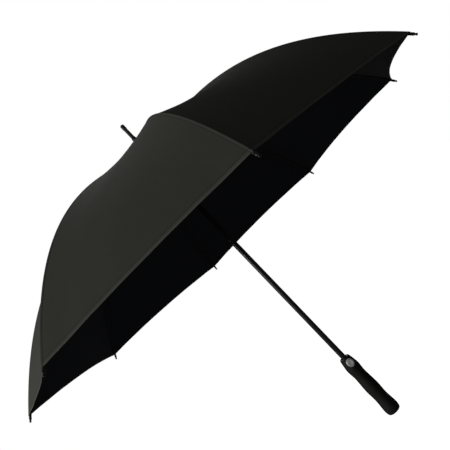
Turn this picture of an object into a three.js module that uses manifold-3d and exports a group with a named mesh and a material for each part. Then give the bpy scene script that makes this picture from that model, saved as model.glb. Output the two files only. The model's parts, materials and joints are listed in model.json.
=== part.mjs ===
// Golf umbrella with an automatic opening frame, shown open.
// Millimetres. +Z runs along the shaft towards the ferrule. The origin is on the shaft's axis,
// halfway up the grip, where a hand holds it. The button faces -Y, under one of the eight ribs.
import * as THREE from "three";
import { mergeVertices } from "three/addons/utils/BufferGeometryUtils.js";
import Module from "manifold-3d";

const wasm = await Module();
wasm.setup();

// Driving dimensions
const RIBS = 8;
const STEP = (2 * Math.PI) / RIBS;
const HALF_STEP = STEP / 2;

const CLOTH_TOP = 805; // height of the cloth at the shaft
const CLOTH_DROP = 300.5; // from there down to the rib tips
const CLOTH_FLAT_R = 12; // the cloth is level inside this radius
const TIP_R = 646; // radius where the drop is reached, at the rib tips
const CLOTH_POWER = 2.76; // how late the cloth turns down
const CLOTH_HOLE_R = 9.2;
const CLOTH_CORNER_R = 639.5; // the cloth's corners, short of the rib tips
const HEM_RISE = 11; // how far the hem pulls in between two corners
const CLOTH_THICK = 0.8;
const SAG = 13; // deepest sag of the cloth between two ribs
const SAG_R = 450; // radius where it is deepest
const SEAM_GAP = 0.6;

const RIB_DEPTH = 3.8; // rib centre line, below the cloth's outer face
const RIB_H = 3.6;
const RIB_W = 3.6;
const RIB_BEND_R = 360; // where the outer part of a rib bends on the inner part
const RIB_END_R = 643.5;
const TIP_CAP_R = 640.5; // where the cap on a rib's end starts, just past the cloth
const PIVOT_R = 11.5; // ring wires of the notch and the runner
const NOTCH_Z = 797.5;
const SLOT_R = 8.5; // the slots' floor
const WIRE_R = 0.8;
const EYE_R = 2.6;
const LUG_R = 346.6; // rib station that carries the stretcher's lug
const LUG_DROP = 8;
const LUG_W = 1.6;
const STRETCHER_W = 4.4;
const STRETCHER_H = 4;
const RUNNER_Z = 687.8;

const SHAFT_R = 7;
const SHAFT_BORE_R = 5.9;
const SHAFT_LOW = -78;
const SHAFT_HIGH = 812;
const FERRULE_TIP = 910;
const HANDLE_LOW = -90;
const BUTTON_Z = 70.5;
const BUTTON_R = 7.2;
const BUTTON_OVAL = 1.2;

// Materials
const material = (color, roughness, metalness) =>
  new THREE.MeshStandardMaterial({ color, roughness, metalness });
const looks = {
  cloth: material(0x1b1b1a, 0.85, 0),
  rib: material(0x151517, 0.45, 0),
  steel: material(0x26272a, 0.4, 0.8),
  plastic: material(0x131314, 0.5, 0),
  grip: material(0x161616, 0.7, 0),
  shaft: material(0x1a1b1d, 0.35, 0.2),
  silver: material(0xb9bcc0, 0.3, 0.9),
};

const umbrella = new THREE.Group();

function add(name, geometry, look, azimuth = 0) {
  const mesh = new THREE.Mesh(geometry, looks[look]);
  mesh.name = name;
  mesh.rotation.z = azimuth;
  umbrella.add(mesh);
}

// Solids
function toSolid(geometry) {
  const bare = geometry.clone();
  bare.deleteAttribute("normal");
  bare.deleteAttribute("uv");
  const merged = mergeVertices(bare, 1e-4);
  const vertProperties = new Float32Array(merged.attributes.position.array);
  const triVerts = new Uint32Array(merged.index.array);
  return new wasm.Manifold(new wasm.Mesh({ numProp: 3, vertProperties, triVerts }));
}

function toGeometry(solid) {
  const { vertProperties, triVerts } = solid.getMesh();
  const geometry = new THREE.BufferGeometry();
  geometry.setAttribute("position", new THREE.BufferAttribute(vertProperties, 3));
  geometry.setIndex(new THREE.BufferAttribute(triVerts, 1));
  geometry.computeVertexNormals();
  return geometry;
}

function combine(joined, cut = []) {
  const solids = joined.map(toSolid);
  const whole = solids.slice(1).reduce((sum, next) => sum.add(next), solids[0]);
  return toGeometry(cut.map(toSolid).reduce((sum, next) => sum.subtract(next), whole));
}

// A plate in the rib's own plane: outline points are [radius, height], width is across the rib.
function plate(outline, width) {
  const shape = new THREE.Shape(outline.map(([u, z]) => new THREE.Vector2(u, z)));
  const geometry = new THREE.ExtrudeGeometry(shape, { depth: width, bevelEnabled: false });
  return geometry.translate(0, 0, -width / 2).rotateX(Math.PI / 2);
}

// A round pin across the rib's plane
function crossPin([u, z], radius, length, sides = 10) {
  return new THREE.CylinderGeometry(radius, radius, length, sides).translate(u, 0, z);
}

// A straight plate of one height between two points of the rib's plane
function link([u0, z0], [u1, z1], height, width) {
  const length = Math.hypot(u1 - u0, z1 - z0);
  const box = new THREE.BoxGeometry(length, width, height);
  return box.rotateY(-Math.atan2(z1 - z0, u1 - u0)).translate((u0 + u1) / 2, 0, (z0 + z1) / 2);
}

// A solid turned about +Z from [radius, height] points
function turned(points, sides = 32) {
  const profile = points.map(([r, z]) => new THREE.Vector2(r, z));
  return new THREE.LatheGeometry(profile, sides).rotateX(Math.PI / 2);
}

function tube(inner, outer, low, high, sides = 32) {
  return turned([[inner, low], [outer, low], [outer, high], [inner, high], [inner, low]], sides);
}

// Cloth and rib curves
const fall = (r) => Math.max(r - CLOTH_FLAT_R, 0) / (TIP_R - CLOTH_FLAT_R);
const clothHeight = (r) => CLOTH_TOP - CLOTH_DROP * fall(r) ** CLOTH_POWER;
const clothSlope = (r) =>
  ((CLOTH_DROP * CLOTH_POWER) / (TIP_R - CLOTH_FLAT_R)) * fall(r) ** (CLOTH_POWER - 1);
const clothSag = (r) => SAG * (r / SAG_R) ** 2 * Math.exp(2 * (1 - r / SAG_R));

// The point at a depth below the cloth, square to it, over a rib
function underCloth(r, depth) {
  const slope = clothSlope(r);
  const size = Math.hypot(slope, 1);
  return [r - (depth * slope) / size, clothHeight(r) - depth / size];
}

function stations(from, to, count) {
  return Array.from({ length: count + 1 }, (_, i) => from + ((to - from) * i) / count);
}

function ribBar(from, to, count, height, width) {
  const upper = stations(from, to, count).map((r) => underCloth(r, RIB_DEPTH - height / 2));
  const lower = stations(from, to, count).map((r) => underCloth(r, RIB_DEPTH + height / 2));
  return plate([...upper, ...lower.reverse()], width);
}

const notchPivot = [PIVOT_R, NOTCH_Z];
const runnerPivot = [PIVOT_R, RUNNER_Z];
const bend = underCloth(RIB_BEND_R, RIB_DEPTH);
const lugEye = underCloth(LUG_R, RIB_DEPTH + LUG_DROP);

// Ribs. The inner part has the eye at the notch, the stretcher's lug and the fork at the bend.
const ribInner = combine(
  [
    ribBar(PIVOT_R, RIB_BEND_R, 8, RIB_H, RIB_W),
    link(notchPivot, underCloth(PIVOT_R + 5, RIB_DEPTH), 4, RIB_W),
    crossPin(notchPivot, EYE_R, RIB_W),
    crossPin(bend, RIB_H / 2, RIB_W),
    link(underCloth(LUG_R, RIB_DEPTH), lugEye, 4.8, LUG_W),
    crossPin(lugEye, 2.4, LUG_W),
  ],
  [
    crossPin(notchPivot, 1.3, RIB_W + 2),
    crossPin(lugEye, 1.1, LUG_W + 2),
    crossPin(bend, 1.05, RIB_W + 2),
    crossPin(bend, 2.4, 1.6),
  ],
);

const ribOuter = combine([
  ribBar(RIB_BEND_R + 2.3, RIB_END_R, 8, RIB_H, RIB_W),
  ribBar(RIB_BEND_R, RIB_BEND_R + 4, 1, 2.6, 1),
  crossPin(bend, RIB_H / 2, 1),
  crossPin(bend, 0.75, RIB_W + 0.6, 8),
]);

// Rib tip: a cap with a socket for the rib's end and a small ball nose
const tipStart = underCloth(TIP_CAP_R, RIB_DEPTH);
const tipAngle = Math.atan(clothSlope(TIP_CAP_R));
const ribTip = combine(
  [turned([[0, 0], [3.3, 0], [3.3, 5.5], [2.2, 8.2], [2.2, 9.6], [2.9, 11], [2, 12.8], [0, 13.2]], 10)],
  [turned([[0, -1], [2.7, -1], [2.7, 6], [0, 6]], 10)],
);
ribTip.rotateY(Math.PI / 2 + tipAngle).translate(tipStart[0], 0, tipStart[1]);

// Stretcher: a channel from the rib's lug to the runner, forked and riveted at the lug
const reach = [runnerPivot[0] - lugEye[0], runnerPivot[1] - lugEye[1]];
const reachLength = Math.hypot(reach[0], reach[1]);
const along = [reach[0] / reachLength, reach[1] / reachLength];
const onStretcher = (distance, drop = 0) => [
  lugEye[0] + along[0] * distance - along[1] * drop,
  lugEye[1] + along[1] * distance + along[0] * drop,
];
const stretcher = combine(
  [
    combine(
      [
        link(lugEye, runnerPivot, STRETCHER_H, STRETCHER_W),
        crossPin(lugEye, 2.4, STRETCHER_W),
        crossPin(runnerPivot, EYE_R, STRETCHER_W),
      ],
      [
        crossPin(lugEye, 3.6, 2.4),
        link(onStretcher(0, 1.2), onStretcher(reachLength - 12, 1.2), STRETCHER_H, 2.4),
        crossPin(runnerPivot, 1.4, STRETCHER_W + 2),
      ],
    ),
    crossPin(lugEye, 0.75, STRETCHER_W, 8),
  ],
);

// Cloth panels, one inner and one outer piece between each two ribs, made about +X
function clothPoint(r, across, depth) {
  const slope = clothSlope(r) / Math.cos(HALF_STEP);
  const size = Math.hypot(slope, 1);
  const drop = clothSag(r) * (1 - across * across) + depth;
  const halfWidth = r * Math.sin(HALF_STEP) - SEAM_GAP;
  return [r * Math.cos(HALF_STEP) - (drop * slope) / size, across * halfWidth, clothHeight(r) - drop / size];
}

function clothPanel(from, to, hemRise, rows, columns) {
  const positions = [];
  for (const depth of [0, CLOTH_THICK]) {
    for (let i = 0; i <= rows; i += 1) {
      for (let j = 0; j <= columns; j += 1) {
        const across = (2 * j) / columns - 1;
        const edge = to - hemRise * (1 - across * across);
        positions.push(...clothPoint(from + ((edge - from) * i) / rows, across, depth));
      }
    }
  }
  const layer = (rows + 1) * (columns + 1);
  const at = (i, j, side) => side * layer + i * (columns + 1) + j;
  const faces = [];
  const quad = (a, b, c, d) => faces.push(a, b, c, a, c, d);
  for (let i = 0; i < rows; i += 1) {
    for (let j = 0; j < columns; j += 1) {
      quad(at(i, j, 0), at(i + 1, j, 0), at(i + 1, j + 1, 0), at(i, j + 1, 0));
      quad(at(i, j, 1), at(i, j + 1, 1), at(i + 1, j + 1, 1), at(i + 1, j, 1));
    }
    quad(at(i, 0, 0), at(i, 0, 1), at(i + 1, 0, 1), at(i + 1, 0, 0));
    quad(at(i, columns, 0), at(i + 1, columns, 0), at(i + 1, columns, 1), at(i, columns, 1));
  }
  for (let j = 0; j < columns; j += 1) {
    quad(at(0, j, 0), at(0, j + 1, 0), at(0, j + 1, 1), at(0, j, 1));
    quad(at(rows, j, 0), at(rows, j, 1), at(rows, j + 1, 1), at(rows, j + 1, 0));
  }
  const geometry = new THREE.BufferGeometry();
  geometry.setAttribute("position", new THREE.Float32BufferAttribute(positions, 3));
  geometry.setIndex(faces);
  geometry.computeVertexNormals();
  return geometry;
}

const panelUpper = clothPanel(CLOTH_HOLE_R, RIB_BEND_R - 0.4, 0, 8, 6);
const panelLower = clothPanel(RIB_BEND_R + 0.4, CLOTH_CORNER_R, HEM_RISE, 9, 6);

for (let k = 0; k < RIBS; k += 1) {
  const azimuth = k * STEP;
  const number = k + 1;
  add(`rib_${number}_inner`, ribInner.clone(), "rib", azimuth);
  add(`rib_${number}_outer`, ribOuter.clone(), "rib", azimuth);
  add(`rib_${number}_tip`, ribTip.clone(), "steel", azimuth);
  add(`stretcher_${number}`, stretcher.clone(), "steel", azimuth);
  add(`panel_${number}_upper`, panelUpper.clone(), "cloth", azimuth + HALF_STEP);
  add(`panel_${number}_lower`, panelLower.clone(), "cloth", azimuth + HALF_STEP);
}

// Notch and runner: collars with a slot for each rib or stretcher and a groove for the ring wire
function slottedCollar(collar, slotWidth, slotLow, pivotZ) {
  const slots = Array.from({ length: RIBS }, (_, k) =>
    new THREE.BoxGeometry(9, slotWidth, 40)
      .translate(SLOT_R + 4.5, 0, slotLow + 20)
      .rotateZ(k * STEP),
  );
  const groove = tube(PIVOT_R - 1.2, PIVOT_R + 1.2, pivotZ - 1.2, pivotZ + 20, 32);
  return combine([collar], [...slots, groove]);
}

const ringWire = (z) => new THREE.TorusGeometry(PIVOT_R, WIRE_R, 6, 32).translate(0, 0, z);
const runnerBody = turned(
  [
    [7.4, RUNNER_Z - 61],
    [10.5, RUNNER_Z - 61],
    [10.5, RUNNER_Z - 10],
    [14.6, RUNNER_Z - 7],
    [14.6, RUNNER_Z + 4.6],
    [7.4, RUNNER_Z + 4.6],
    [7.4, RUNNER_Z - 61],
  ],
  32,
);

add("notch", slottedCollar(tube(7.3, 14.6, 788.5, 802.4, 32), 4.4, 780, NOTCH_Z), "plastic");
add("notch_wire", ringWire(NOTCH_Z), "steel");
add("runner", slottedCollar(runnerBody, 5.2, RUNNER_Z - 3.2, RUNNER_Z), "plastic");
add("runner_wire", ringWire(RUNNER_Z), "steel");

// Shaft, ferrule and the cap that holds the cloth down
add("shaft", tube(SHAFT_BORE_R, SHAFT_R, SHAFT_LOW, SHAFT_HIGH), "shaft");
add(
  "top_cap",
  turned([[7.4, 805.6], [14.5, 805.6], [14.2, 808.5], [9.8, 819], [7.4, 819], [7.4, 805.6]]),
  "plastic",
);
add(
  "ferrule",
  turned([
    [0, 780],
    [5.5, 780],
    [5.5, 812.4],
    [6.6, 812.4],
    [6.6, 819.4],
    [8, 819.4],
    [8, 822.4],
    [5.2, 824.5],
    [5, 837],
    [6.5, 840],
    [6.6, 860],
    [5.1, 864],
    [4.9, 893],
    [5.7, 895],
    [5.6, FERRULE_TIP - 2.5],
    [4, FERRULE_TIP],
    [0, FERRULE_TIP],
  ], 24),
  "plastic",
);

// Handle: grip, its end cap and top ring, and the release button in its bezel
const gripWaists = [
  [18.3, -83.8],
  [19.4, -72],
  [17.2, -41],
  [18.5, -9],
  [16.5, 30],
  [18.3, 54],
  [16.6, 70],
  [14.2, 83.6],
];
const gripCurve = new THREE.SplineCurve(gripWaists.map(([r, z]) => new THREE.Vector2(r, z)));
const gripOutline = gripCurve.getPoints(21).map(({ x, y }) => [x, y]);
const gripBody = turned(
  [[7.3, -83.8], ...gripOutline, [11, 83.6], [11, 61], [7.3, 61], [7.3, -83.8]],
  28,
);
const oval = (geometry) => geometry.scale(1, 1, BUTTON_OVAL).translate(0, 0, BUTTON_Z);
const grip = combine(
  [gripBody],
  [
    oval(new THREE.CylinderGeometry(9.6, 9.6, 20, 24).translate(0, -22.1, 0)),
    oval(new THREE.CylinderGeometry(3.4, 3.4, 12, 12).translate(0, -12, 0)),
  ],
);
add("grip", grip, "grip");
add(
  "end_cap",
  turned([
    [0, HANDLE_LOW],
    [10.5, HANDLE_LOW],
    [14.6, HANDLE_LOW + 0.9],
    [17.2, HANDLE_LOW + 3],
    [18.1, -84.2],
    [6.9, -84.2],
    [6.9, -80],
    [0, -80],
  ]),
  "plastic",
);
add("grip_collar", tube(11, 13.4, 84, 87), "plastic");

const facingButton = (points) => {
  const profile = points.map(([r, out]) => new THREE.Vector2(r, out));
  return oval(new THREE.LatheGeometry(profile, 24).rotateX(Math.PI));
};
add(
  "button_bezel",
  facingButton([[7.6, 12.4], [9.2, 12.4], [9.2, 17.3], [8.6, 18], [7.6, 18], [7.6, 12.4]]),
  "silver",
);
add(
  "button",
  facingButton([
    [0, 13.2],
    [3, 13.2],
    [3, 15.4],
    [BUTTON_R, 15.4],
    [BUTTON_R, 18.7],
    [6.4, 19.4],
    [0, 19.4],
  ]),
  "silver",
);

export default umbrella;
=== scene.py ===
"""Golf umbrella, open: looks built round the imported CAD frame. Metres, +Z along the shaft."""

import json
import math

import bmesh
import bpy
import numpy as np
from mathutils import Matrix, Vector

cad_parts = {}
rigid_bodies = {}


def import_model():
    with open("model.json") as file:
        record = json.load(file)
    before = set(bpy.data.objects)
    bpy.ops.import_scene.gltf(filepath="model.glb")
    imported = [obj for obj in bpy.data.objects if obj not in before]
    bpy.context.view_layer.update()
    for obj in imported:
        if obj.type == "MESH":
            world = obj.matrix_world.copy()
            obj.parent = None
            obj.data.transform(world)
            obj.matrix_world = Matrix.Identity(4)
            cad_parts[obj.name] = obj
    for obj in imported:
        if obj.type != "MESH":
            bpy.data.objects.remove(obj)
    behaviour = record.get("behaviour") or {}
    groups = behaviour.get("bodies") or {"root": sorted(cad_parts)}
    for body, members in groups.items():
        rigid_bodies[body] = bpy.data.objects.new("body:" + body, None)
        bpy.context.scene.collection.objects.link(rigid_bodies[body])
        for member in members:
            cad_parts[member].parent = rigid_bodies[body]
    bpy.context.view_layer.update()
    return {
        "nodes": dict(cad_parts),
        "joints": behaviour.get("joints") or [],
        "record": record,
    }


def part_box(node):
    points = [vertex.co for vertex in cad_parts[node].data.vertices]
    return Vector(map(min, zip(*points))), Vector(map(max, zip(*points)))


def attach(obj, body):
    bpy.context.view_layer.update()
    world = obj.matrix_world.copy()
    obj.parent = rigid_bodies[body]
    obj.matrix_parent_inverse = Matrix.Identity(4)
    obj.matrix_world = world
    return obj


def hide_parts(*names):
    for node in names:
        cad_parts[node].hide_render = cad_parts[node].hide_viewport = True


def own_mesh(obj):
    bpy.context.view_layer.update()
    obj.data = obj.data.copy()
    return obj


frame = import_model()

MM = 0.001
RIBS = 8
STEP = 2 * math.pi / RIBS
C8, S8 = math.cos(STEP / 2), math.sin(STEP / 2)

# Cloth and rib curves, in millimetres, as in the CAD source
CLOTH_TOP, CLOTH_DROP, FLAT_R, TIP_R, POWER = 805.0, 300.5, 12.0, 646.0, 2.76
HOLE_R, BEND_R, CORNER_R, HEM_RISE = 9.2, 360.0, 639.5, 11.0
SAG, SAG_R = 13.0, 450.0
RIB_DEPTH = 3.8
LUG_R, LUG_DROP, RIB_END_R, TIP_CAP_R = 346.6, 8.0, 643.5, 640.5
BUTTON_Z, BUTTON_OVAL = 70.5, 1.2
PIVOT = np.array([11.5, 797.5])
WIRE_R = 0.8

# Cloth: single and hemmed thickness, the hem's width, and the length of cloth per millimetre of station,
# on average and at the hem
CLOTH_THICK, HEM_THICK, HEM_BAND = 0.4, 0.95, 9.0
CLOTH_RUN, HEM_RUN = 1.08, 1.5
PROBE = 0.6  # step for the cloth's normals

# Sewing, in metres: pitches, how far lines run from the rib and from the hem's edge, half their widths
WEAVE_PITCH, STITCH_PITCH = 0.00062, 0.0032
SEAM_STITCH, SEAM_EDGE = 0.003, 0.0046
HEM_STITCH, HEM_EDGE = 0.0066, 0.0092
STITCH_HALF, EDGE_HALF = 0.0006, 0.0009
# The double edges get a painted highlight, a paler colour: fully up to the first distance, not from the
# second, by the third number
HEM_PAINTED_HIGHLIGHT, SEAM_PAINTED_HIGHLIGHT = (0.0035, 0.0062, 0.7), (0.0012, 0.0028, 0.4)

# Degrees that a rib turns at the notch, and its outer part at the bend, as the umbrella shuts
FOLD = float(next(j for j in frame["joints"] if j["name"] == "open_close")["range_deg"][1])
COUPLINGS = frame["record"]["behaviour"]["couplings"]
FLEX = FOLD * next(c["ratio"] for c in COUPLINGS if c["joint"] == "rib_1_flex")

# How the cloth and the springy ribs give as the umbrella shuts, above and below the ribs' bends
BOW_KEEP = {"upper": 0.49, "lower": 0.47}  # what is left of a rib's bow
# When shut, the strips over the ribs just meet: a strip's width against its share of the round, what is
# added at the hem and where, and what a slope takes off
LAP, HEM_LAP, HEM_LAP_FROM, HEM_LAP_RUN, SLOPE_LAP = 1.062, 0.05, 560, 50, 0.08

TIE_STATIONS = (120, 235, 318, 430, 530)
POCKET_R = (622, 641.2)
FLOOR_Z = -4.0


def fall(r):
    """How far out a station is, from 0 where the cloth leaves the level to 1 at the tips."""
    return np.maximum(np.asarray(r, float) - FLAT_R, 0) / (TIP_R - FLAT_R)


def height(r):
    """Height of the cloth over a rib."""
    return CLOTH_TOP - CLOTH_DROP * fall(r) ** POWER


def slope(r):
    """How steeply the cloth over a rib falls."""
    return CLOTH_DROP * POWER / (TIP_R - FLAT_R) * fall(r) ** (POWER - 1)


def sag(r):
    """How far a panel's middle hangs below the line between its ribs."""
    return SAG * (r / SAG_R) ** 2 * np.exp(2 * (1 - r / SAG_R))


def under_cloth(r, depth):
    """The point (radius, height) in a rib's plane that lies square below the cloth."""
    m = slope(r)
    n = np.hypot(m, 1)
    return np.array([r - depth * m / n, height(r) - depth / n])


def turned(p, centre, degrees):
    """A point of a rib's plane turned downwards about a centre."""
    a = math.radians(degrees)
    u, z = p[0] - centre[0], p[1] - centre[1]
    return np.array(
        [centre[0] + u * math.cos(a) + z * math.sin(a), centre[1] - u * math.sin(a) + z * math.cos(a)]
    )


def unit(v):
    return np.asarray(v, float) / np.linalg.norm(v)


def in_scene(name, data):
    """A new object with this mesh, curve, light or camera, in the scene."""
    thing = bpy.data.objects.new(name, data)
    bpy.context.scene.collection.objects.link(thing)
    return thing


# The ends of a rib's two parts, in its plane
BEND = under_cloth(BEND_R, RIB_DEPTH)
RIB_START, RIB_END = under_cloth(FLAT_R, RIB_DEPTH), under_cloth(RIB_END_R, RIB_DEPTH)


def bow_line(part):
    """The straight line that a part of a rib gives towards: (start, normal) in the rib's plane."""
    start, end = (RIB_START, BEND) if part == "upper" else (BEND, RIB_END)
    along = unit(end - start)
    return start, np.array([-along[1], along[0]])


def folded_radius(r):
    """Distance from the shaft's axis of the cloth over a rib when the umbrella is shut."""
    part = "upper" if r <= BEND_R else "lower"
    start, normal = bow_line(part)
    p = under_cloth(r, 0.0)
    p = p - (1 - BOW_KEEP[part]) * ((p - start) @ normal) * normal
    if r > BEND_R:
        p = turned(p, BEND, FLEX)
    return turned(p, PIVOT, FOLD)[0]


def zone_width(r):
    """Half width of the cloth that goes with a rib, so that eight of them close round the shaft."""
    lean = slope(r) / np.hypot(slope(r), 1)
    lap = LAP + HEM_LAP * np.clip((r - HEM_LAP_FROM) / HEM_LAP_RUN, 0, 1)
    w = lap * folded_radius(r) * math.tan(STEP / 2) / (1 + SLOPE_LAP * lean)
    return min(w, r * S8)


# Inside this station the cloth that goes with the ribs meets, so a panel has no part of its own
START = next(r for r in np.arange(15, 200, 0.01) if zone_width(r) < r * S8 - 0.02)


# ---------------------------------------------------------------- canopy surface
def creases(r, a, k):
    """Small pull lines in the cloth: fine ones round the shaft, soft ones along the hem and seams."""
    near_top = np.exp(-((np.maximum(r - 14, 0) / 55.0) ** 1.3)) * np.clip((r - 12) / 16, 0, 1)
    top = near_top * 0.9 * np.cos(a * 7.5 + 1.7 * k) * (1 - a**4)
    near_hem = np.clip((r - 420) / 200, 0, 1) ** 2
    from_rib = 1 - np.abs(a)
    pull = near_hem * 1.1 * np.cos(from_rib * 16 + 0.012 * r + 0.8 * k) * np.exp(-3.2 * from_rib)
    drift = 1.3 * np.sin(0.011 * r + 2.1 * k) * np.cos(1.9 * a + 0.7 * k) * (1 - a**2)
    drift = drift * np.clip(r / 250, 0, 1)
    soft = 0.45 * np.sin(0.034 * r + 3.3 * a + k) * np.cos(4.1 * a - 0.6 * k) * (1 - a**2)
    return top + pull * (1 - a**8) + drift + soft * np.clip(r / 200, 0, 1)


def seam_lift(y):
    """The lapped seam over a rib stands up a little from the cloth, y millimetres beside it."""
    lap = 0.55 / (1 + np.exp((np.abs(y) - 4.0) / 0.45))
    stitch_dip = 0.25 * np.exp(-((np.abs(y) - 3.0) ** 2) / 0.25)
    return lap - stitch_dip


def cloth_point(r, a, k):
    """World points, in metres, of panel k's cloth: r is the station along its ribs, a runs -1..1."""
    r, a = np.broadcast_arrays(np.asarray(r, float), np.asarray(a, float))
    m = slope(r) / C8
    n = np.hypot(m, 1)
    beside = (1 - np.abs(a)) * r * S8
    low = sag(r) * (1 - a**2) - creases(r, a, k) - seam_lift(beside)
    x, y, z = r * C8 - low * m / n, a * r * S8, height(r) - low / n
    t = k * STEP + STEP / 2
    return np.stack([x * math.cos(t) - y * math.sin(t), x * math.sin(t) + y * math.cos(t), z], -1) * MM


def hem_station(a):
    """The station of the hem's edge, which pulls in between two corners."""
    return CORNER_R - HEM_RISE * (1 - a**2)


def stations(low, high, v, a):
    """The stations of a row of cloth: rows run from the low line to the high line or to the hem."""
    end = hem_station(a) if high is None else np.full_like(a, high)
    return low + (end - low) * v


def cloth_rows(low, high):
    """Rows of cloth: shares of the way to the high line or hem, and the stations they stand for."""
    if high is None:
        v = np.concatenate([np.linspace(0, 0.955, 40), [0.965, 0.975, 0.982, 0.988, 0.994, 1.0]])
        return v[:, None], low + (CORNER_R - low) * v
    v = (START + (high - START) * np.linspace(0, 1, 38) ** 1.3 - low) / (high - low)
    if low < START:
        v = np.concatenate([np.linspace(0, v[0], 8)[:-1], v])
    return v[:, None], low + (high - low) * v


def grid_faces(rows, cols):
    """Faces of a closed sheet whose points are a grid of rows, then the same grid for its underside."""
    count = rows * cols
    i, j = np.meshgrid(np.arange(rows - 1), np.arange(cols - 1), indexing="ij")
    q = (i * cols + j).ravel()
    top = np.stack([q, q + cols, q + cols + 1, q + 1], -1)
    low = np.stack([q, q + 1, q + cols + 1, q + cols], -1) + count
    first = np.arange(cols - 1)
    last = (rows - 1) * cols + first
    left = np.arange(rows - 1) * cols
    right = left + cols - 1
    rims = [
        np.stack([first, first + 1, first + 1 + count, first + count], -1),
        np.stack([last, last + count, last + 1 + count, last + 1], -1),
        np.stack([left, left + count, left + cols + count, left + cols], -1),
        np.stack([right, right + cols, right + cols + count, right + count], -1),
    ]
    return np.concatenate([top, low, *rims]), len(top)


def cloth_piece(name, grid, materials):
    """A thin closed sheet over a grid: r and a of its points, and k, the panel of each column."""
    rows, cols = grid["r"].shape
    k, r, a = grid["k"], grid["r"], grid["a"]
    outer = np.empty((rows, cols, 3))
    normal = np.empty((rows, cols, 3))
    thick = np.empty((rows, cols))
    for side in sorted(set(k.tolist())):
        m = k == side
        p = cloth_point(r[:, m], a[:, m], side)
        across = PROBE / np.maximum(r[:, m] * S8, 5)
        inward = np.where(a[:, m] > 0, -1, 1)
        pa = cloth_point(r[:, m], a[:, m] + inward * across, side)
        pr = cloth_point(r[:, m] + PROBE, a[:, m], side)
        n = np.cross(pr - p, (pa - p) * inward[..., None])
        n /= np.linalg.norm(n, axis=-1, keepdims=True)
        outer[:, m], normal[:, m] = p, n
        to_hem = (hem_station(a[:, m]) - r[:, m]) * HEM_RUN
        thick[:, m] = np.where(to_hem < HEM_BAND, HEM_THICK, CLOTH_THICK) * MM
    inner = outer - normal * thick[..., None]
    points = np.concatenate([outer.reshape(-1, 3), inner.reshape(-1, 3)])
    faces, count = grid_faces(rows, cols)
    mesh = bpy.data.meshes.new(name)
    mesh.from_pydata(points.tolist(), [], faces.tolist())
    both = np.concatenate([normal.reshape(-1, 3), -normal.reshape(-1, 3)])
    index = np.zeros(len(faces), int)
    index[count : 2 * count] = 1
    mesh.polygons.foreach_set("material_index", index.astype(np.int32))
    mesh.polygons.foreach_set("use_smooth", np.ones(len(faces), bool))
    for m in materials:
        mesh.materials.append(m)
    warp = (r * CLOTH_RUN) * MM
    weft = a * r * S8 * MM
    beside = (1 - np.abs(a)) * r * S8 * MM
    to_hem = (hem_station(a) - r) * HEM_RUN * MM
    loops = np.empty(len(mesh.loops), np.int32)
    mesh.loops.foreach_get("vertex_index", loops)
    for label, u, v in (("weave", weft, warp), ("edges", beside, to_hem)):
        layer = mesh.uv_layers.new(name=label)
        flat = np.tile(np.stack([u.ravel(), v.ravel()], -1), (2, 1))
        layer.data.foreach_set("uv", flat[loops].astype(np.float32).ravel())
    mesh.normals_split_custom_set(both[loops].tolist())
    mesh.update()
    piece = in_scene(name, mesh)
    area = sum(p.area for p in mesh.polygons if p.material_index == 1)
    width = np.linalg.norm(outer[:, 0] - outer[:, -1], axis=-1).max()
    length = np.linalg.norm(np.diff(outer[:, cols // 2], axis=0), axis=-1).sum()
    return piece, (float(width), float(length)), float(area)


PANEL_COLUMNS = 14
NARROW, SEAM_SHARE = 12, 0.42  # in a strip narrower than this, the seam takes a share of it


def spread(width):
    """How far the columns of a strip lie from its rib: close together over the seam, then even."""
    near = np.array([0.0, 0.02, 1.0, 2.0, 2.6, 3.1, 3.6, 4.2, 5.0])
    seam = SEAM_SHARE * width if width < NARROW else near[-1]
    far = seam + (width - seam) * np.linspace(0.0, 1.0, 5)[1:]
    return np.concatenate([np.minimum(near, seam), far])


def rib_zone(k, low, high):
    """Columns of the cloth either side of rib k, which is shared by panels k-1 and k."""
    v, nominal = cloth_rows(low, high)
    beside = np.array([spread(zone_width(x)) for x in nominal])
    share = 1 - beside / (nominal[:, None] * S8)
    right = -share
    left = share[:, ::-1]
    a = np.concatenate([left, right[:, 1:]], 1)
    side = np.array([(k - 1) % RIBS] * left.shape[1] + [k] * (right.shape[1] - 1))
    return {"k": side, "r": stations(low, high, v, a), "a": a}


def panel_zone(k, low, high, side):
    """Columns of the cloth between the middle of panel k and the rib zone on one side of it."""
    v, nominal = cloth_rows(low, high)
    reach = np.array([1 - zone_width(x) / (x * S8) for x in nominal])[:, None]
    share = np.linspace(*((0, 1) if side > 0 else (-1, 0)), PANEL_COLUMNS)
    a = share[None, :] * reach
    return {"k": np.full(PANEL_COLUMNS, k), "r": stations(low, high, v, a), "a": a}


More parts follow.
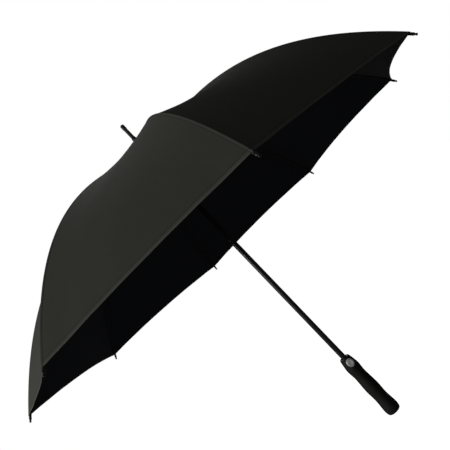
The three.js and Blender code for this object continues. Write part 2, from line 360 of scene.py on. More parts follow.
# ---------------------------------------------------------------- materials
class Nodes:
    """A short way to write a material's node tree."""

    def __init__(self, name, color, roughness, metallic=0.0, specular=0.5, sheen=0.0):
        self.material = bpy.data.materials.new(name)
        self.material.use_nodes = True
        self.tree = self.material.node_tree
        self.shader = self.tree.nodes["Principled BSDF"]
        self.put(self.shader, "Base Color", (*color, 1.0))
        self.put(self.shader, "Roughness", roughness)
        self.put(self.shader, "Metallic", metallic)
        self.put(self.shader, "Specular IOR Level", specular)
        self.put(self.shader, "Sheen Weight", sheen)
        self.put(self.shader, "Sheen Roughness", 0.35 if sheen else 0.4)

    def put(self, node, socket, value):
        if isinstance(value, bpy.types.NodeSocket):
            self.tree.links.new(value, node.inputs[socket])
        else:
            node.inputs[socket].default_value = value

    def add(self, kind, out=0, settings=None, **inputs):
        node = self.tree.nodes.new(kind)
        for key, value in (settings or {}).items():
            setattr(node, key, value)
        for key, value in inputs.items():
            numbered = key[0] == "i" and key[1:].isdigit()
            self.put(node, int(key[1:]) if numbered else key, value)
        return node.outputs[out]

    def math(self, operation, a, b=0.0):
        return self.add("ShaderNodeMath", 0, {"operation": operation}, i0=a, i1=b)

    def objects(self):
        return self.add("ShaderNodeTexCoord", "Object")

    def noise(self, vector, scale, detail=3.0, rough=0.5, stretch=None):
        if stretch:
            vector = self.add("ShaderNodeMapping", 0, None, Vector=vector, Scale=stretch)
        inputs = {"Vector": vector, "Scale": scale, "Detail": detail, "Roughness": rough}
        return self.add("ShaderNodeTexNoise", "Fac", None, **inputs)

    def ramp(self, value, low, high, to_low=0.0, to_high=1.0):
        return self.add(
            "ShaderNodeMapRange", 0, {"clamp": True}, i0=value, i1=low, i2=high, i3=to_low, i4=to_high
        )

    def mix(self, factor, a, b):
        node = self.tree.nodes.new("ShaderNodeMix")
        node.data_type = "RGBA"
        self.put(node, 0, factor)
        self.put(node, 6, a if isinstance(a, bpy.types.NodeSocket) else (*a, 1.0))
        self.put(node, 7, b if isinstance(b, bpy.types.NodeSocket) else (*b, 1.0))
        return node.outputs[2]

    def color(self, value):
        self.put(self.shader, "Base Color", value)

    def rough(self, value):
        self.put(self.shader, "Roughness", value)

    def bump(self, relief, strength, distance, normal=None):
        inputs = {"Height": relief, "Strength": strength, "Distance": distance}
        if normal is not None:
            inputs["Normal"] = normal
        return self.add("ShaderNodeBump", 0, None, **inputs)


def cloth_material(name, base, dark, roughness, sheen):
    """Pongee: a fine plain weave with slubs, a lapped seam with two rows of stitches, and a sewn hem."""
    n = Nodes(name, base, roughness, specular=0.28, sheen=sheen)
    uv = n.add("ShaderNodeUVMap", 0, {"uv_map": "weave"})
    sep = n.tree.nodes.new("ShaderNodeSeparateXYZ")
    n.put(sep, 0, uv)
    edges = n.tree.nodes.new("ShaderNodeSeparateXYZ")
    n.put(edges, 0, n.add("ShaderNodeUVMap", 0, {"uv_map": "edges"}))
    pitch = 2 * math.pi / WEAVE_PITCH
    wx = n.math("SINE", n.math("MULTIPLY", sep.outputs[0], pitch))
    wy = n.math("SINE", n.math("MULTIPLY", sep.outputs[1], pitch))
    weave = n.math("MULTIPLY", wx, wy)
    slub_warp = n.noise(uv, 60.0, 2.0, 0.6, (60.0, 1.2, 1.0))
    slub_weft = n.noise(uv, 60.0, 2.0, 0.6, (1.2, 60.0, 1.0))
    slub = n.math("ADD", slub_warp, slub_weft)
    cloud = n.noise(n.objects(), 5.0, 4.0, 0.55)
    stitch_run = n.math("SINE", n.math("MULTIPLY", sep.outputs[1], 2 * math.pi / STITCH_PITCH))
    stitch_hem = n.math("SINE", n.math("MULTIPLY", sep.outputs[0], 2 * math.pi / STITCH_PITCH))

    def line(distance, at, half):
        off = n.math("ABSOLUTE", n.math("SUBTRACT", distance, at))
        return n.ramp(off, 0.4 * half, half, 1.0, 0.0)

    seam_line = line(edges.outputs[0], SEAM_STITCH, STITCH_HALF)
    seam_line = n.math("MULTIPLY", seam_line, n.ramp(stitch_run, -0.3, 0.1))
    hem_line = line(edges.outputs[1], HEM_STITCH, STITCH_HALF)
    hem_line = n.math("MULTIPLY", hem_line, n.ramp(stitch_hem, -0.3, 0.1))
    stitches = n.math("MAXIMUM", seam_line, hem_line)
    groove = n.math(
        "MAXIMUM",
        line(edges.outputs[0], SEAM_EDGE, EDGE_HALF),
        line(edges.outputs[1], HEM_EDGE, EDGE_HALF),
    )
    tone = n.ramp(n.math("ADD", n.math("MULTIPLY", slub, 0.35), cloud), 0.55, 1.15)
    # The folded edges are double and stand clear; a painted highlight makes them paler, up to 1.9 times the
    # cloth's colour
    painted_edge_highlight = n.math(
        "MAXIMUM",
        n.ramp(edges.outputs[1], *HEM_PAINTED_HIGHLIGHT, 0.0),
        n.ramp(edges.outputs[0], *SEAM_PAINTED_HIGHLIGHT, 0.0),
    )
    ground = n.mix(painted_edge_highlight, n.mix(tone, dark, base), tuple(1.9 * x for x in base))
    # Painted shade: the grooves along the folded edges are painted darker, 0.35 of the cloth's colour
    ground = n.mix(groove, ground, tuple(0.35 * x for x in base))
    n.color(n.mix(stitches, ground, tuple(1.5 * x for x in base)))
    n.rough(n.ramp(slub, 0.6, 1.4, roughness - 0.06, roughness + 0.06))
    relief = n.bump(weave, 0.35, 0.00012)
    relief = n.bump(slub, 0.35, 0.0003, relief)
    crumple = n.noise(n.objects(), 38.0, 3.0, 0.5)
    relief = n.bump(crumple, 0.18, 0.0012, relief)
    relief = n.bump(stitches, 0.8, 0.0006, relief)
    relief = n.bump(groove, -0.7, 0.0006, relief)
    n.put(n.shader, "Normal", relief)
    return n.material


def moulded(name, color, roughness, grain=900.0, depth=0.00008, wear=0.0, specular=0.5):
    """Moulded plastic or rubber: fine grain, faint handling marks, and paler worn patches."""
    n = Nodes(name, color, roughness, specular=specular)
    where = n.objects()
    patches = n.noise(where, 55.0, 5.0, 0.6)
    specks = n.noise(where, 420.0, 3.0, 0.6)
    lighter = tuple(min(1.0, 1.6 * c + 0.01 * wear) for c in color)
    darker = tuple(0.7 * c for c in color)
    n.color(n.mix(n.ramp(patches, 0.35, 0.75), darker, n.mix(n.ramp(specks, 0.55, 0.8), color, lighter)))
    marks = n.math("ADD", patches, n.math("MULTIPLY", specks, 0.4))
    n.rough(n.ramp(marks, 0.4, 0.95, roughness - 0.09, roughness + 0.1))
    fine = n.add("ShaderNodeTexVoronoi", "Distance", None, Vector=where, Scale=grain)
    n.put(n.shader, "Normal", n.bump(fine, 0.4, depth, n.bump(patches, 0.1, 0.0004)))
    return n.material


def brushed(name, color, roughness, stretch, metallic):
    """Plated or coated metal with fine drawn lines and a few rubbed spots."""
    n = Nodes(name, color, roughness, metallic)
    where = n.objects()
    lines = n.noise(where, 500.0, 3.0, 0.7, stretch)
    spots = n.noise(where, 70.0, 4.0, 0.6)
    n.color(n.mix(n.ramp(spots, 0.45, 0.75), tuple(0.78 * c for c in color), color))
    n.rough(n.ramp(n.math("ADD", lines, spots), 0.7, 1.35, roughness - 0.08, roughness + 0.1))
    n.put(n.shader, "Normal", n.bump(lines, 0.12, 0.00005))
    return n.material


MATERIALS = {
    "pocket": moulded("pocket_cloth", (0.03, 0.0305, 0.027), 0.85, 1600.0, 0.00008, specular=0.2),
    "thread": moulded("sewing_thread", (0.012, 0.012, 0.012), 0.75, 2500.0, 0.00004),
    "cloth": cloth_material("cloth_outside", (0.0352, 0.0358, 0.03), (0.029, 0.0295, 0.0245), 0.82, 0.08),
    # The underside of the same cloth, painted darker and bluer than the outside: painted shade of the
    # canopy's inside
    "shaded_underside": cloth_material("cloth_inside", (0.012, 0.013, 0.019), (0.0095, 0.0105, 0.015), 0.82, 0.03),
    "rib": brushed("fibreglass", (0.008, 0.008, 0.009), 0.45, (1, 1, 1), 0.0),
    "steel": brushed("black_steel", (0.02, 0.02, 0.023), 0.38, (1, 1, 1), 0.6),
    "plastic": moulded("black_plastic", (0.009, 0.009, 0.01), 0.42, specular=0.35),
    "shaft": brushed("shaft_coating", (0.014, 0.0145, 0.015), 0.34, (1, 1, 0.02), 0.2),
    "grip": moulded("soft_grip", (0.005, 0.005, 0.005), 0.72, 1500.0, 0.0001, 0.3, specular=0.25),
    "silver": brushed("silver_finish", (0.8, 0.81, 0.82), 0.34, (1, 0.1, 1), 0.25),
}


def finish_piece(piece, body, replaced=()):
    """Fix a piece to its body, and hide the CAD nodes that it stands for."""
    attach(piece, body)
    if replaced:
        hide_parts(*replaced)
    return piece


# ---------------------------------------------------------------- canopy
def in_space(p, azimuth, across=0.0):
    """Points or a direction of a rib's or panel's own plane, and so far across it, in the object's axes."""
    c, s = math.cos(azimuth), math.sin(azimuth)
    return (p[0] * c - across * s, p[0] * s + across * c, p[1])


def straighten(piece):
    """Give the piece a mesh of its own."""
    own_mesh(piece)


def gather(piece):
    """Give the piece a mesh of its own."""
    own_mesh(piece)


def add_cloth(name, grid, body, replaced=()):
    """A stretched sheet of cloth, fixed to its body."""
    piece, span, area = cloth_piece(name, grid, [MATERIALS["cloth"], MATERIALS["shaded_underside"]])
    finish_piece(piece, body, replaced)
    return piece


for k in range(RIBS):
    number = k + 1
    for part, low, high, rib_body, panel_body, rib_node in (
        ("upper", HOLE_R, BEND_R, f"rib_{number}", f"panel_{number}_top", f"rib_{number}_inner"),
        ("lower", BEND_R, None, f"rib_{number}_end", f"panel_{number}_hem", f"rib_{number}_outer"),
    ):
        seam = add_cloth(f"canopy_seam_{number}_{part}", rib_zone(k, low, high), rib_body)
        straighten(seam)
        start = START if part == "upper" else low
        for side, label in ((1, "left"), (-1, "right")):
            half = add_cloth(
                f"canopy_panel_{number}_{part}_{label}",
                panel_zone(k, start, high, side),
                panel_body,
                [f"panel_{number}_{part}"],
            )
            gather(half)


# ---------------------------------------------------------------- hard parts
SHARP = math.radians(38)
ROUNDED_OVER = math.radians(32)


def new_piece(name, points, faces, materials, index=None):
    """A piece from points in millimetres, smooth apart from its sharp edges."""
    mesh = bpy.data.meshes.new(name)
    mesh.from_pydata((np.asarray(points) * MM).tolist(), [], faces)
    mesh.polygons.foreach_set("use_smooth", np.ones(len(faces), bool))
    if index is not None:
        mesh.polygons.foreach_set("material_index", np.asarray(index, np.int32))
    mesh.set_sharp_from_angle(angle=SHARP)
    for m in materials:
        mesh.materials.append(m)
    return in_scene(name, mesh)


def applied(piece, kind, **settings):
    """Apply one modifier to the piece's mesh."""
    modifier = piece.modifiers.new(kind, kind)
    for key, value in settings.items():
        setattr(modifier, key, value)
    graph = bpy.context.evaluated_depsgraph_get()
    piece.data = bpy.data.meshes.new_from_object(piece.evaluated_get(graph))
    piece.modifiers.clear()


def softened(piece, width):
    """Round the piece's sharp edges over, width in millimetres."""
    applied(piece, "BEVEL", width=width * MM, segments=2, limit_method="ANGLE", angle_limit=ROUNDED_OVER)
    piece.data.polygons.foreach_set("use_smooth", np.ones(len(piece.data.polygons), bool))
    applied(piece, "WEIGHTED_NORMAL", keep_sharp=True)


def rounded(corners, steps=5):
    """An outline whose corners (a, b, fillet) are rounded over by their fillets."""
    corners = [np.array(c if len(c) == 3 else (*c, 0.0), float) for c in corners]
    line = [corners[0][:2]]
    for before, here, after in zip(corners, corners[1:], corners[2:]):
        back, on = before[:2] - here[:2], after[:2] - here[:2]
        reach = min(here[2], 0.48 * np.linalg.norm(back), 0.48 * np.linalg.norm(on))
        if reach <= 0:
            line.append(here[:2])
            continue
        start, end = here[:2] + unit(back) * reach, here[:2] + unit(on) * reach
        for t in np.linspace(0, 1, steps):
            line.append((1 - t) ** 2 * start + 2 * t * (1 - t) * here[:2] + t**2 * end)
    return np.array(line + [corners[-1][:2]])


def through(points, steps):
    """A smooth line through points (Catmull-Rom)."""
    p = np.array([points[0], *points, points[-1]], float)
    line = []
    for a, b, c, d in zip(p, p[1:], p[2:], p[3:]):
        square, cube = 2 * a - 5 * b + 4 * c - d, 3 * b - a - 3 * c + d
        for t in np.arange(steps) / steps:
            line.append(0.5 * (2 * b + (c - a) * t + square * t**2 + cube * t**3))
    return np.array(line + [p[-1]])


def lathe_mesh(outline, sides):
    """Points and faces of a solid turned about Z from a (radius, height) outline, closed or axis to axis."""
    closed = np.allclose(outline[0], outline[-1])
    line = np.array(outline[:-1] if closed else outline, float)
    turn = np.arange(sides) * 2 * math.pi / sides
    points, rows = [], []
    for r, z in line:
        if r < 1e-6:
            rows.append([len(points)] * sides)
            points.append((0, 0, z))
        else:
            rows.append(list(range(len(points), len(points) + sides)))
            points.extend((r * math.cos(t), r * math.sin(t), z) for t in turn)
    faces = []
    for low, high in zip(rows, rows[1:] + (rows[:1] if closed else [])):
        for i in range(sides):
            j = (i + 1) % sides
            face = [low[i], low[j], high[j], high[i]]
            face = [v for n, v in enumerate(face) if v not in face[:n]]
            if len(face) > 2:
                faces.append(face)
    return points, faces


def lathe(name, outline, material, sides):
    points, faces = lathe_mesh(outline, sides)
    return new_piece(name, points, faces, [material])


def facing_button(name, outline, material, sides):
    """A solid turned about the button's own axis, which faces -Y, and stretched along the handle."""
    points, faces = lathe_mesh(outline, sides)
    p = np.array(points)
    placed = np.stack([p[:, 0], -p[:, 2], p[:, 1] * BUTTON_OVAL + BUTTON_Z], -1)
    return new_piece(name, placed, faces, [material])


class Plane:
    """Collects solids made in a rib's own plane, where points are (radius, height), then turns them."""

    def __init__(self):
        self.points, self.faces, self.index = [], [], []

    def put(self, points, faces, material):
        base = len(self.points)
        self.points.extend(points)
        self.faces.extend([[base + v for v in f] for f in faces])
        self.index.extend([material] * len(faces))

    def rod(self, line, radii, material, sides=14):
        """A round rod along a line, with a radius for each of its points."""
        line = np.array(line, float)
        radii = np.broadcast_to(radii, len(line))
        ahead = np.gradient(line, axis=0)
        ahead /= np.linalg.norm(ahead, axis=1)[:, None]
        turn = np.arange(sides) * 2 * math.pi / sides
        points = []
        for (u, z), (du, dz), r in zip(line, ahead, radii):
            points += [(u - dz * r * math.cos(t), r * math.sin(t), z + du * r * math.cos(t)) for t in turn]
        faces = [list(range(sides)), list(range(len(points) - sides, len(points)))[::-1]]
        for i in range(len(line) - 1):
            for j in range(sides):
                k = (j + 1) % sides
                faces.append([i * sides + j, (i + 1) * sides + j, (i + 1) * sides + k, i * sides + k])
        self.put(points, faces, material)

    def strap(self, start, end, radius, width, material, beside=0.0):
        """A flat link with round ends from start to end, width across the plane."""
        start, end = np.array(start, float), np.array(end, float)
        tilt = math.atan2(end[1] - start[1], end[0] - start[0])
        outline = []
        for centre, first in ((end, -math.pi / 2), (start, math.pi / 2)):
            for t in np.linspace(first, first + math.pi, 10):
                outline.append(centre + radius * np.array([math.cos(t + tilt), math.sin(t + tilt)]))
        n = len(outline)
        points = [(u, beside + side * width / 2, z) for side in (-1, 1) for u, z in outline]
        faces = [list(range(n)), list(range(n, 2 * n))[::-1]]
        faces += [[j, j + n, (j + 1) % n + n, (j + 1) % n] for j in range(n)]
        self.put(points, faces, material)

    def cross(self, centre, outline, material):
        """A solid turned about an axis across the plane from a (radius, offset) outline."""
        points, faces = lathe_mesh(outline, 20)
        self.put([(centre[0] + x, z, centre[1] + y) for x, y, z in points], faces, material)

    def piece(self, name, azimuth, materials, soften=0.0):
        """The collected solids as one piece, turned to an azimuth, with its edges rounded over."""
        out, across, up = np.array(self.points).T
        points = np.stack(in_space((out, up), azimuth, across), -1)
        piece = new_piece(name, points, self.faces, materials, self.index)
        mend = bmesh.new()
        mend.from_mesh(piece.data)
        bmesh.ops.recalc_face_normals(mend, faces=mend.faces)
        mend.to_mesh(piece.data)
        mend.free()
        if soften:
            softened(piece, soften)
        return piece


def ring_section(inner, outer, half):
    """A closed outline of a ring's section, from inner to outer radius, with rounded corners."""
    seam = ((inner + outer) / 2, -half)
    corners = [(r, z, 0.3) for r, z in ((outer, -half), (outer, half), (inner, half), (inner, -half))]
    return rounded([seam, *corners, seam], 4)


def rivet(length, radius, head):
    """A rivet's outline: a shank with a domed head at each end."""
    half = length / 2
    dome = [(head * math.cos(t), half + 0.7 * head * math.sin(t)) for t in np.linspace(0, math.pi / 2, 5)]
    lower = [(r, -z) for r, z in dome[::-1]]
    return [*lower, (radius, -half), (radius, half), *dome]


ROD_R, ROD_TIP_R = 1.75, 1.5
LUG_EYE = under_cloth(LUG_R, RIB_DEPTH + LUG_DROP)


def along_rib(low, high, count):
    """Points on a rib's centre line between two stations."""
    return [under_cloth(r, RIB_DEPTH) for r in np.linspace(low, high, count)]


def inner_rib(azimuth, number):
    """Fibreglass rod with a steel eye at the notch, the stretcher's lug, and the fork at the bend."""
    p = Plane()
    p.rod(along_rib(17, BEND_R - 6, 60), ROD_R, 0)
    p.rod(along_rib(16, 30, 8), [1.9, 2.15, 2.2, 2.2, 2.2, 2.2, 2.15, 1.85], 1)
    p.strap(PIVOT + (2.0, 0.7), under_cloth(19, RIB_DEPTH), 1.8, 2.6, 1)
    p.cross(PIVOT, ring_section(1.15, 2.6, 1.6), 1)
    p.rod(along_rib(LUG_R - 8, LUG_R + 4, 8), [1.9, 2.35, 2.45, 2.45, 2.45, 2.45, 2.35, 1.9], 1)
    p.strap(under_cloth(LUG_R, RIB_DEPTH), LUG_EYE, 2.3, 1.5, 1)
    p.rod(along_rib(BEND_R - 9.5, BEND_R - 3.6, 6), [1.9, 2.2, 2.25, 2.25, 2.2, 1.9], 1)
    for side in (-1, 1):
        p.strap(under_cloth(BEND_R - 5, RIB_DEPTH), BEND, 1.8, 0.85, 1, side * 1.35)
    return p.piece(f"rib_rod_{number}_inner", azimuth, [MATERIALS["rib"], MATERIALS["steel"]], 0.18)


def outer_rib(azimuth, number):
    """The rod from the bend to the tip, with its tongue and the rivet it turns on."""
    p = Plane()
    line = along_rib(BEND_R + 6, RIB_END_R, 60)
    p.rod(line, np.linspace(ROD_R, ROD_TIP_R, len(line)), 0)
    p.rod(along_rib(BEND_R + 3.2, BEND_R + 17, 8), [1.8, 2.2, 2.3, 2.3, 2.3, 2.3, 2.2, 1.8], 1)
    p.strap(BEND, under_cloth(BEND_R + 7, RIB_DEPTH), 1.6, 1.1, 1)
    p.cross(BEND, rivet(3.8, 0.75, 1.25), 1)
    return p.piece(f"rib_rod_{number}_outer", azimuth, [MATERIALS["rib"], MATERIALS["steel"]], 0.18)


def rib_tip(azimuth, number):
    """A pressed cap on the rib's end, with a neck that the cloth's corner is sewn to and a round nose."""
    start, end = under_cloth(TIP_CAP_R, RIB_DEPTH), under_cloth(TIP_CAP_R + 1, RIB_DEPTH)
    ahead = unit(end - start)
    outline = rounded(
        [
            (2.0, 0.4), (2.4, 0, 0.2), (3.2, 0.2, 0.5), (3.2, 5.5, 0.8), (2.1, 8.0, 0.8), (2.1, 9.6, 0.6),
            (2.9, 10.9, 0.9), (2.0, 12.8, 0.9), (0, 13.1),
        ]
    )
    line = [start + ahead * along for _, along in outline]
    p = Plane()
    p.rod(line, [max(r, 0.3) for r, _ in outline], 0, 24)
    return p.piece(f"rib_cap_{number}", azimuth, [MATERIALS["steel"]])


def corner_pocket(azimuth, number):
    """The hem folded round the rib's end at each corner of the cloth."""
    radii = [1.9, 2.6, 3.0, 3.2, 3.3, 3.35, 3.35, 3.3, 3.25, 3.2, 3.1, 2.9]
    p = Plane()
    p.rod(along_rib(*POCKET_R, len(radii)), radii, 0, 20)
    return p.piece(f"corner_pocket_{number}", azimuth, [MATERIALS["pocket"]])


def thread_tie(azimuth, name, station):
    """Black thread wound round a rib and up into the cloth's seam."""
    centre = under_cloth(station, RIB_DEPTH)
    ahead = unit(under_cloth(station + 1, RIB_DEPTH) - centre)
    up = np.array([-ahead[1], ahead[0]])
    turns, per_turn, pitch = 3, 18, 0.75
    half_up, half_across, thread = 2.15, 2.1, 0.28
    steps = per_turn * turns
    points = []
    for i in range(steps + 1):
        t = 2 * math.pi * i / per_turn
        lift = 1.0 + 0.42 * max(math.cos(t), 0) ** 3
        spot = centre + ahead * (i / steps - 0.5) * pitch * turns + up * half_up * lift * math.cos(t)
        points.append(in_space(spot, azimuth, half_across * math.sin(t)))
    curve = bpy.data.curves.new(name, "CURVE")
    curve.dimensions = "3D"
    curve.bevel_depth = thread * MM
    curve.bevel_resolution = 2
    curve.use_fill_caps = True
    spline = curve.splines.new("POLY")
    spline.points.add(len(points) - 1)
    for knot, (x, y, z) in zip(spline.points, points):
        knot.co = (x * MM, y * MM, z * MM, 1)
    strand = in_scene(name, curve)
    graph = bpy.context.evaluated_depsgraph_get()
    mesh = bpy.data.meshes.new_from_object(strand.evaluated_get(graph))
    bpy.data.objects.remove(strand)
    mesh.materials.clear()
    mesh.materials.append(MATERIALS["thread"])
    return in_scene(name, mesh)


def refined(node, name, material, width):
    """A copy of a CAD node with its flat faces whole again and its edges rounded over."""
    mesh = frame["nodes"][node].data.copy()
    mesh.name = name
    work = bmesh.new()
    work.from_mesh(mesh)
    bmesh.ops.remove_doubles(work, verts=work.verts, dist=1e-6)
    bmesh.ops.dissolve_limit(work, angle_limit=math.radians(1), verts=work.verts, edges=work.edges)
    bmesh.ops.recalc_face_normals(work, faces=work.faces)
    work.to_mesh(mesh)
    work.free()
    mesh.polygons.foreach_set("use_smooth", np.ones(len(mesh.polygons), bool))
    mesh.set_sharp_from_angle(angle=ROUNDED_OVER)
    mesh.materials.clear()
    mesh.materials.append(material)
    piece = in_scene(name, mesh)
    piece.matrix_world = frame["nodes"][node].matrix_world
    softened(piece, width)
    return piece


for k in range(RIBS):
    number, azimuth = k + 1, k * STEP
    inner, outer = f"rib_{number}", f"rib_{number}_end"
    rod = finish_piece(inner_rib(azimuth, number), inner, [f"rib_{number}_inner"])
    straighten(rod)
    rod = finish_piece(outer_rib(azimuth, number), outer, [f"rib_{number}_outer"])
    straighten(rod)
    finish_piece(rib_tip(azimuth, number), outer, [f"rib_{number}_tip"])
    straighten(finish_piece(corner_pocket(azimuth, number), outer))
    for station in TIE_STATIONS:
        body, part = (inner, "upper") if station < BEND_R else (outer, "lower")
        tie = thread_tie(azimuth, f"thread_tie_{number}_at_{station}", station)
        straighten(finish_piece(tie, body))
    stretcher = refined(f"stretcher_{number}", f"stretcher_channel_{number}", MATERIALS["steel"], 0.22)
    finish_piece(stretcher, f"stretcher_body_{number}", [f"stretcher_{number}"])

for node, body, width in (("notch", "frame", 0.35), ("runner", "runner_body", 0.4)):
    moulding = refined(node, f"{node}_moulding", MATERIALS["plastic"], width)
    finish_piece(moulding, body, [node])


def ring_wire(name, middle):
    """The wire that the ribs' or stretchers' eyes are threaded on."""
    turn = np.linspace(0, 2 * math.pi, 13)
    section = [(PIVOT[0] + WIRE_R * math.cos(t), middle + WIRE_R * math.sin(t)) for t in turn]
    return lathe(name, section, MATERIALS["steel"], 72)


wire_z = sum(v[2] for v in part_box("runner_wire")) / 2 / MM
finish_piece(ring_wire("notch_ring", PIVOT[1]), "frame", ["notch_wire"])
finish_piece(ring_wire("runner_ring", wire_z), "runner_body", ["runner_wire"])


# ---------------------------------------------------------------- shaft, ferrule and handle
def shaft_tube():
    low, high = (v[2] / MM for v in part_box("shaft"))
    section = [(6.4, low), (7, low, 0.25), (7, high, 0.25), (5.9, high, 0.25), (5.9, low, 0.25), (6.4, low)]
    return lathe("shaft_tube", rounded(section), MATERIALS["shaft"], 72)


def ferrule_spike():
    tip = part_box("ferrule")[1][2] / MM
    section = [
        (0, 780), (5.5, 780, 0.3), (5.5, 812.4, 0.2), (6.6, 812.4, 0.2), (6.6, 819.4, 0.2), (8, 819.4, 0.5),
        (8, 822.4, 0.8), (5.2, 824.5, 1.2), (5, 837, 1.2), (6.5, 840, 1.2), (6.6, 849), (6.6, 860, 1.5),
        (5.1, 864, 1.5), (4.9, 893, 0.8), (5.7, 895, 0.6), (5.65, 900), (5.6, tip - 2.5, 1.8),
        (3.6, tip, 1.2), (0, tip),
    ]
    return lathe("ferrule_spike", rounded(section), MATERIALS["plastic"], 64)


def top_cap_cone():
    section = [
        (11, 805.6), (14.4, 805.6, 0.5), (14.2, 808.3, 1.6), (11.4, 812.2, 4.0), (9.6, 818.9, 0.8),
        (7.4, 818.9, 0.4), (7.4, 805.6, 0.4), (11, 805.6),
    ]
    return lathe("top_cap_cone", rounded(section, 7), MATERIALS["plastic"], 64)


GRIP_WAISTS = [
    (18.3, -83.8), (19.4, -72), (17.2, -41), (18.5, -9), (16.5, 30), (18.3, 54), (16.6, 70), (14.2, 83.6),
]


def grip_sleeve():
    """Soft grip: a waisted sleeve, hollow at its top, with the button's pocket cut in its head."""
    side = through(GRIP_WAISTS, 12)
    low, high = GRIP_WAISTS[0], GRIP_WAISTS[-1]
    top = rounded([side[-2], (*high, 0.7), (11, high[1], 0.4), (11, 61), (7.3, 61), (7.3, low[1]), low])
    section = np.concatenate([side[:-1], top[1:-1], side[:1]])
    grip = lathe("grip_sleeve", section, MATERIALS["grip"], 96)
    for name, r, inside, outside, sides in (("pocket", 9.6, 12.1, 30, 48), ("stem_hole", 3.4, 8, 14, 24)):
        outline = [(0, inside), (r, inside), (r, outside), (0, outside)]
        cutter = facing_button(name, outline, MATERIALS["grip"], sides)
        applied(grip, "BOOLEAN", object=cutter, operation="DIFFERENCE", solver="EXACT")
        bpy.data.objects.remove(cutter)
    softened(grip, 0.35)
    return grip


def end_cap_moulding():
    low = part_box("end_cap")[0][2] / MM
    section = [
        (0, low + 0.8), (5.5, low + 0.8, 0.4), (6.2, low, 0.5), (10.5, low, 2.0), (14.6, low + 0.9, 2.2),
        (17.2, low + 3, 1.8), (18.1, -84.2, 0.3), (6.9, -84.2, 0.3), (6.9, -80, 0.4), (0, -80),
    ]
    return lathe("end_cap_moulding", rounded(section, 7), MATERIALS["plastic"], 80)


def grip_collar_ring():
    section = [(12, 84), (13.4, 84, 0.4), (13.4, 87, 0.9), (11, 87, 0.5), (11, 84, 0.3), (12, 84)]
    return lathe("grip_collar_ring", rounded(section), MATERIALS["plastic"], 72)


def bezel_ring():
    section = [(8.4, 12.4), (9.2, 12.4, 0.2), (9.2, 18, 0.7), (7.6, 18, 0.45), (7.6, 12.4, 0.2), (8.4, 12.4)]
    return facing_button("bezel_ring", rounded(section), MATERIALS["silver"], 72)


def button_cap():
    """The button's face is dished for the thumb."""
    section = [
        (0, 13.2), (3, 13.2, 0.2), (3, 15.4), (7.2, 15.4, 0.3), (7.2, 18.6, 0.3), (6.9, 19.2, 0.5),
        (5.9, 19.35, 0.5), (3.2, 18.85, 1.2), (0, 18.75),
    ]
    return facing_button("button_cap", rounded(section), MATERIALS["silver"], 72)


for make, body, finish_slot, node in (
    (shaft_tube, "frame", "shaft", "shaft"),
    (ferrule_spike, "frame", "plastic", "ferrule"),
    (top_cap_cone, "frame", "plastic", "top_cap"),
    (grip_sleeve, "frame", "grip", "grip"),
    (end_cap_moulding, "frame", "plastic", "end_cap"),
    (grip_collar_ring, "frame", "plastic", "grip_collar"),
    (bezel_ring, "frame", "silver", "button_bezel"),
    (button_cap, "button_body", "silver", "button"),
):
    finish_piece(make(), body, [node])


# ---------------------------------------------------------------- stage
FLOOR_HALF = 60
KEY = {"azimuth": -163, "elevation": 9, "distance": 3.2, "size": 1.0, "power": 72}
BACK = {"azimuth": 75, "elevation": 4, "distance": 3.6, "size": 0.8, "power": 16}
LIT_POINT = Vector((0, 0, 0.6))  # the lights face this point
AMBIENT = 0.095
CAMERA_AT, LENS = (-0.2494, -1.4044, 0.3797), 44.8
CAMERA_RIGHT, CAMERA_AHEAD = Vector((0.7219, -0.0623, -0.6891)), Vector((0.1843, 0.9773, 0.1047))


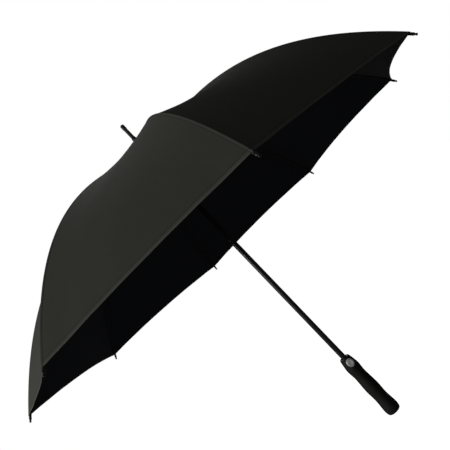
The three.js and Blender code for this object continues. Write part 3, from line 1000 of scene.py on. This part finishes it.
def stage_floor():
    """A pale floor, far enough down to leave the underside in view, that fades into the background."""
    mesh = bpy.data.meshes.new("floor")
    corners = [(x * FLOOR_HALF, y * FLOOR_HALF, 0) for x, y in ((-1, -1), (1, -1), (1, 1), (-1, 1))]
    mesh.from_pydata(corners, [], [(0, 1, 2, 3)])
    n = Nodes("floor_paint", (0.9, 0.9, 0.9), 0.9, specular=0.0)
    where = n.objects()
    n.color(n.mix(n.noise(where, 2.0), (0.88, 0.88, 0.88), (0.92, 0.92, 0.92)))
    away = n.tree.nodes.new("ShaderNodeVectorMath")
    away.operation = "LENGTH"
    n.put(away, 0, where)
    n.put(n.shader, "Emission Color", (1, 1, 1, 1))
    n.put(n.shader, "Emission Strength", n.ramp(away.outputs["Value"], 0.5, 5.0, 0.98, 1.0))
    mesh.materials.append(n.material)
    floor = in_scene("floor", mesh)
    floor.location.z = FLOOR_Z
    floor.visible_diffuse = False
    floor.visible_glossy = False


def area_light(name, azimuth, elevation, distance, size, power, color):
    data = bpy.data.lights.new(name, "AREA")
    data.shape = "DISK"
    data.size = size
    data.energy = power
    data.color = color
    light = in_scene(name, data)
    a, e = math.radians(azimuth), math.radians(elevation)
    away = Vector((math.cos(a) * math.cos(e), math.sin(a) * math.cos(e), math.sin(e)))
    light.location = LIT_POINT + away * distance
    light.rotation_mode = "QUATERNION"
    light.rotation_quaternion = away.to_track_quat("Z", "Y")


def camera():
    """The photograph's viewpoint, rolled as the umbrella leans in it."""
    data = bpy.data.cameras.new("camera")
    data.sensor_width = 36.0
    data.lens = LENS
    data.clip_start, data.clip_end = 0.02, 200
    cam = in_scene("camera", data)
    right = CAMERA_RIGHT.normalized()
    forward = (CAMERA_AHEAD - right * CAMERA_AHEAD.dot(right)).normalized()
    up = right.cross(forward)
    m = Matrix((right, up, -forward)).transposed().to_4x4()
    m.translation = Vector(CAMERA_AT)
    cam.matrix_world = m
    bpy.context.scene.camera = cam


def studio_world():
    """White behind the object, and a dim even light on it."""
    world = bpy.data.worlds.new("studio")
    bpy.context.scene.world = world
    world.use_nodes = True
    tree = world.node_tree
    background = tree.nodes["Background"]
    background.inputs["Color"].default_value = (1, 1, 1, 1)
    seen = tree.nodes.new("ShaderNodeLightPath")
    level = tree.nodes.new("ShaderNodeMapRange")
    tree.links.new(seen.outputs["Is Camera Ray"], level.inputs[0])
    level.inputs[3].default_value = AMBIENT
    level.inputs[4].default_value = 1.0
    tree.links.new(level.outputs[0], background.inputs["Strength"])


camera()
stage_floor()
area_light("key", **KEY, color=(1.0, 0.99, 0.95))
area_light("back", **BACK, color=(0.96, 0.98, 1.0))
studio_world()
bpy.context.scene.view_settings.view_transform = "Standard"
bpy.context.scene.view_settings.look = "None"
